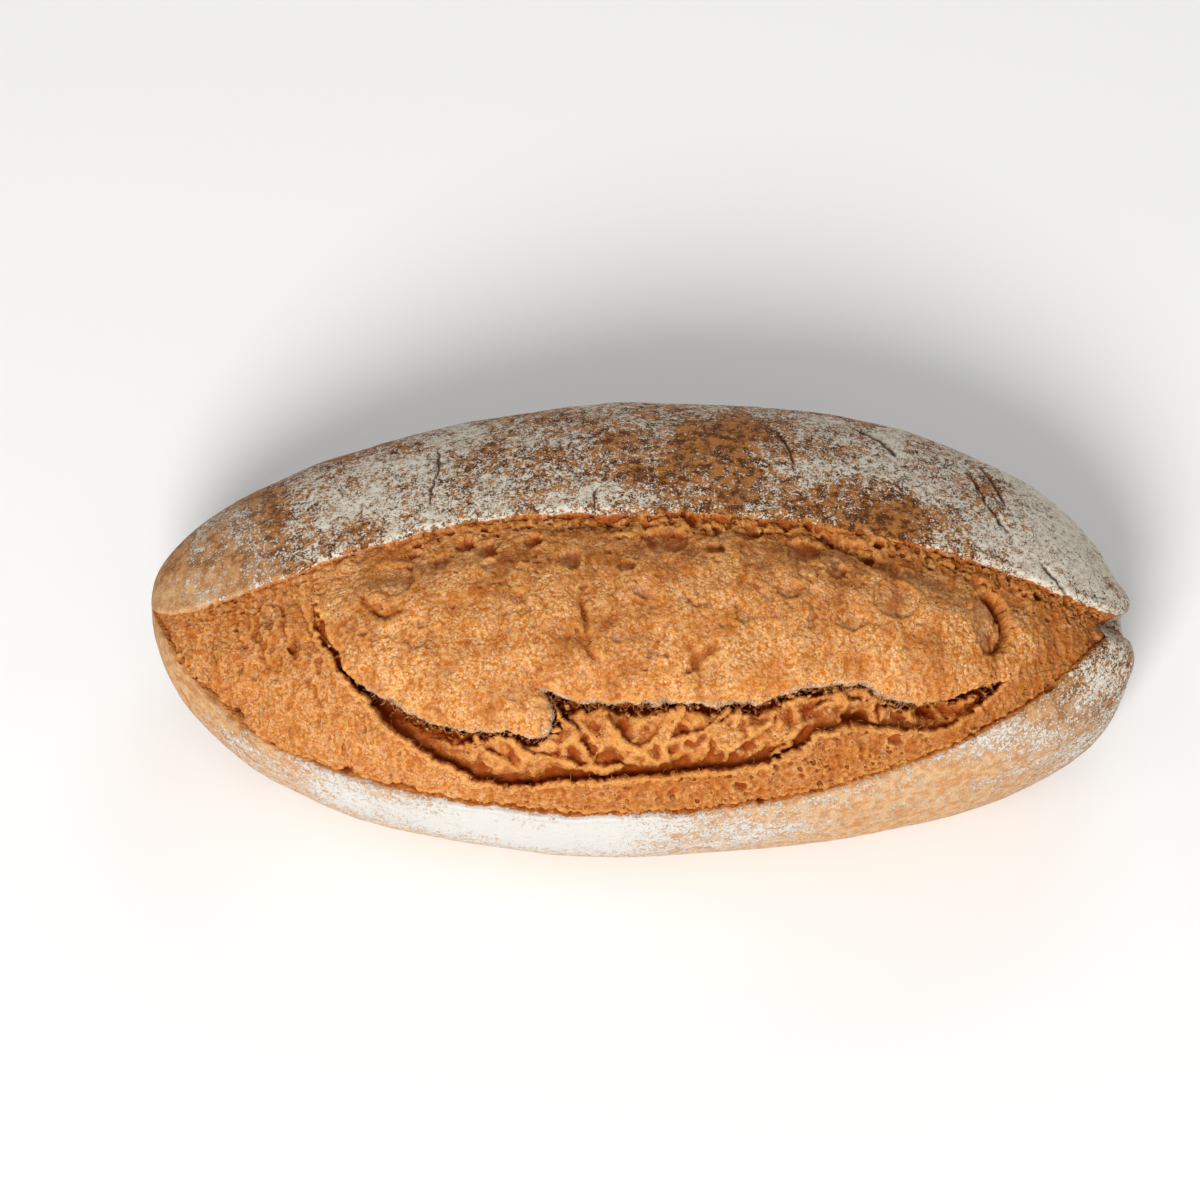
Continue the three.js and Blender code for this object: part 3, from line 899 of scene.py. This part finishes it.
# Painted highlights on ridges.
crumb_colour = n.blend(n.sum("MULTIPLY", n.mark("ridge_highlight"), 0.5, True), crumb_colour, paint(232, 164, 86))
shade_and_burn_mark = n.mark("shade_and_burn")
# Painted shade in hollows, pores and the tear, deepest in the tear; the real burnt crevice behind the front
# lip shares the darker colour.
crumb_colour = n.blend(n.ease(shade_and_burn_mark, 0.1, 0.7, 0, 0.7), crumb_colour, paint(150, 66, 4))
crumb_colour = n.blend(n.ease(shade_and_burn_mark, 0.75, 1.5, 0, 0.7), crumb_colour, paint(150, 62, 8))
pale = n.blend(n.ease(crumb_group.outputs["Grain"], 0.4, 0.6), paint(132, 98, 70), paint(214, 194, 168))
crumb_colour = n.blend(n.ease(n.mark("under_lobe"), 0.4, 0.95, 0, 0.7), crumb_colour, pale)

# The crust: chestnut where the oven caught it, tan at the front, dark in the cracks.
crust_tone = n.cloud(spot, 320, 4, 0.7)
crust_colour = n.blend(n.ease(crust_tone, 0.4, 0.6), paint(92, 48, 14), paint(184, 118, 54))
tan_colour = n.blend(n.ease(crust_tone, 0.35, 0.65), paint(192, 134, 80), paint(218, 176, 128))
crust_colour = n.blend(n.mark("tan"), crust_colour, tan_colour)
flour_group = n.shared(baked_flour)
n.fill(flour_group, Amount=n.mark("flour"), Whiteness=n.mark("tan"))
flour_mask = flour_group.outputs["Mask"]
crust_colour = n.blend(n.sum("MULTIPLY", flour_mask, 0.95), crust_colour, flour_group.outputs["Color"])
crackle = n.ease(n.spots(n.crooked(spot, 260, 0.006), 170, "DISTANCE_TO_EDGE"), 0.035, 0.012)
crackle = n.sum("MULTIPLY", crackle, n.ease(n.cloud(spot, 60, 3), 0.52, 0.62))
crackle = n.sum("MAXIMUM", crackle, n.ease(n.mark("crack"), 0.3, 0.8))
crackle = n.sum("MULTIPLY", crackle, n.ease(n.mark("tan"), 0.7, 0.2, 0.15, 0.85))
crust_colour = n.blend(crackle, crust_colour, paint(78, 38, 14))

edge = n.sum("ADD", n.mark("crumb"), n.sum("MULTIPLY", n.sum("SUBTRACT", crust_tone, 0.5), 0.7))
is_crumb = n.ease(edge, 0.42, 0.58)
n.put(shader.inputs["Base Color"], n.blend(is_crumb, crust_colour, crumb_colour))
n.put(shader.inputs["Roughness"], n.between(is_crumb, n.ease(flour_mask, 0, 1, 0.62, 0.95), 0.74))
shader.inputs["Specular IOR Level"].default_value = 0.12
bump = n.add("ShaderNodeBump")
bump.inputs["Strength"].default_value = 1
bump.inputs["Distance"].default_value = 1
flour_height = flour_group.outputs["Height"]
n.put(bump.inputs["Height"], n.between(is_crumb, flour_height, crumb_group.outputs["Height"]))
n.put(shader.inputs["Normal"], bump.outputs["Normal"])

loaf.data.materials.clear()
loaf.data.materials.append(bread)
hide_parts("loaf")
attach(loaf, "root")


# ---- The torn fibres ----
# Gluten strands left standing where the lobe tore away from the shelf, part of the same crumb.
# Short tapered threads are scattered where the tear's edges are marked, leaning over the gap.


class Graph(Nodes):
    """The same short ways for a geometry tree, with its inputs set by name."""

    def __init__(self, name, sizes):
        super().__init__(bpy.data.node_groups.new(name, "GeometryNodeTree"))
        sockets = self.tree.interface
        sockets.new_socket("Geometry", in_out="OUTPUT", socket_type="NodeSocketGeometry")
        sockets.new_socket("Surface", in_out="INPUT", socket_type="NodeSocketObject")
        for label, (kind, _) in sizes.items():
            sockets.new_socket(label, in_out="INPUT", socket_type=kind)
        self.values = {label: value for label, (_, value) in sizes.items()}
        self.given = self.add("NodeGroupInput").outputs
        self.result = self.add("NodeGroupOutput").inputs

    def scattered(self, mark, things, finish, turn, size):
        """Copies of a small shape over the loaf where the mark is strong, made real and finished."""
        surface = self.add("GeometryNodeObjectInfo", transform_space="RELATIVE")
        self.put(surface.inputs["Object"], self.given["Surface"])
        named = self.add("GeometryNodeInputNamedAttribute", data_type="FLOAT")
        named.inputs["Name"].default_value = mark
        points = self.add("GeometryNodeDistributePointsOnFaces")
        density = self.sum("MULTIPLY", named.outputs["Attribute"], self.given["Density"])
        self.fill(points, Mesh=surface.outputs["Geometry"], Density=density, Seed=self.given["Seed"])
        copies = self.add("GeometryNodeInstanceOnPoints")
        self.fill(copies, Points=points.outputs["Points"], Instance=things)
        self.put(copies.inputs["Rotation"], turn(points.outputs["Rotation"]))
        self.put(copies.inputs["Scale"], size)
        real = self.add("GeometryNodeRealizeInstances")
        self.put(real.inputs["Geometry"], copies.outputs["Instances"])
        painted = self.add("GeometryNodeSetMaterial")
        self.put(painted.inputs["Geometry"], real.outputs["Geometry"])
        painted.inputs["Material"].default_value = finish
        self.put(self.result["Geometry"], painted.outputs["Geometry"])

    def chance(self, low, high, seed, kind="FLOAT"):
        made = self.add("FunctionNodeRandomValue", data_type=kind)
        slots = (0, 1) if kind == "FLOAT_VECTOR" else (2, 3)
        self.put(made.inputs[slots[0]], low)
        self.put(made.inputs[slots[1]], high)
        made.inputs["Seed"].default_value = seed
        return made.outputs[0 if kind == "FLOAT_VECTOR" else 1]

    def bake(self, name):
        """Runs the tree once on an empty mesh and keeps the plain result as a new piece."""
        piece = bpy.data.objects.new(name, bpy.data.meshes.new(name + "_start"))
        bpy.context.collection.objects.link(piece)
        live = piece.modifiers.new("tree", "NODES")
        live.node_group = self.tree
        for item in self.tree.interface.items_tree:
            if item.in_out == "INPUT":
                live[item.identifier] = loaf if item.name == "Surface" else self.values[item.name]
        graph = bpy.context.evaluated_depsgraph_get()
        piece.data = bpy.data.meshes.new_from_object(piece.evaluated_get(graph), depsgraph=graph)
        piece.data.name = name
        piece.modifiers.clear()
        return piece


def strand(g, reach, thickness):
    """A closed thread that leans over and tapers to a point."""
    bend = g.add("GeometryNodeCurveQuadraticBezier")
    bend.inputs["Resolution"].default_value = 4
    path = {"Start": (0, 0, -0.15), "Middle": (0.1, 0, 0.5), "End": (0.75, 0, 0.65)}
    for label, spot_on_path in path.items():
        stretch = g.add("ShaderNodeVectorMath", operation="SCALE")
        stretch.inputs[0].default_value = spot_on_path
        g.put(stretch.inputs["Scale"], reach)
        g.put(bend.inputs[label], stretch.outputs[0])
    along_it = g.add("GeometryNodeSplineParameter")
    taper = g.add("GeometryNodeSetCurveRadius")
    thinning = g.sum("MULTIPLY", along_it.outputs["Factor"], 0.8)
    g.fill(taper, Curve=bend.outputs["Curve"], Radius=g.sum("SUBTRACT", 1, thinning))
    ring = g.add("GeometryNodeCurvePrimitiveCircle")
    ring.inputs["Resolution"].default_value = 3
    g.put(ring.inputs["Radius"], thickness)
    tube = g.add("GeometryNodeCurveToMesh")
    g.fill(tube, Curve=taper.outputs["Curve"], Profile_Curve=ring.outputs["Curve"], Fill_Caps=True)
    return tube.outputs["Mesh"]


threads_finish = bpy.data.materials.new("torn_fibres")
threads_finish.use_nodes = True
n = Nodes(threads_finish.node_tree)
fibre_group = n.shared(toasted_crumb)
n.fill(fibre_group, Browning=0.25, Film=0.5)
shader = threads_finish.node_tree.nodes["Principled BSDF"]
n.put(shader.inputs["Base Color"], fibre_group.outputs["Color"])
shader.inputs["Roughness"].default_value = 0.7

number, whole = "NodeSocketFloat", "NodeSocketInt"
g = Graph("torn_fibre_tree", {
    "Density": (number, 1.7e5), "Seed": (whole, 4),
    "Reach": (number, 2.0 * MM), "Thickness": (number, 0.07 * MM),
})


def any_way(turn):
    """Each thread spun about its root and tipped a little."""
    made = g.add("FunctionNodeRotateRotation", rotation_space="LOCAL")
    g.put(made.inputs["Rotation"], turn)
    g.put(made.inputs["Rotate By"], g.chance((-0.5, -0.5, 0), (0.5, 0.5, 2 * math.pi), 5, "FLOAT_VECTOR"))
    return made.outputs["Rotation"]


thread_shape = strand(g, g.given["Reach"], g.given["Thickness"])
thread_size = g.chance(0.5, 1.4, 6)
g.scattered("fringe", thread_shape, threads_finish, any_way, thread_size)
fibres = g.bake("torn_fibres")
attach(fibres, "root")


# ---- The flour clumps ----
# Loose crumbs of dusting flour caked on the crust beside the bloom, baked hard.
# Small squashed grains are scattered where the crust is marked.

caked = bpy.data.materials.new("caked_flour")
caked.use_nodes = True
n = Nodes(caked.node_tree)
clump_group = n.shared(baked_flour)
n.fill(clump_group, Amount=1.0, Whiteness=0.7)
shader = caked.node_tree.nodes["Principled BSDF"]
n.put(shader.inputs["Base Color"], clump_group.outputs["Color"])
shader.inputs["Roughness"].default_value = 0.95

g = Graph("flour_clump_tree", {
    "Density": (number, 2.5e5), "Seed": (whole, 9), "Radius": (number, 0.32 * MM),
})
grain_shape = g.add("GeometryNodeMeshIcoSphere")
grain_shape.inputs["Subdivisions"].default_value = 1
g.put(grain_shape.inputs["Radius"], g.given["Radius"])
grain_size = g.chance((0.5, 0.5, 0.3), (1.7, 1.4, 0.8), 10, "FLOAT_VECTOR")
g.scattered("clumps", grain_shape.outputs["Mesh"], caked, lambda turn: turn, grain_size)
clumps_piece = g.bake("flour_clumps")
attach(clumps_piece, "root")
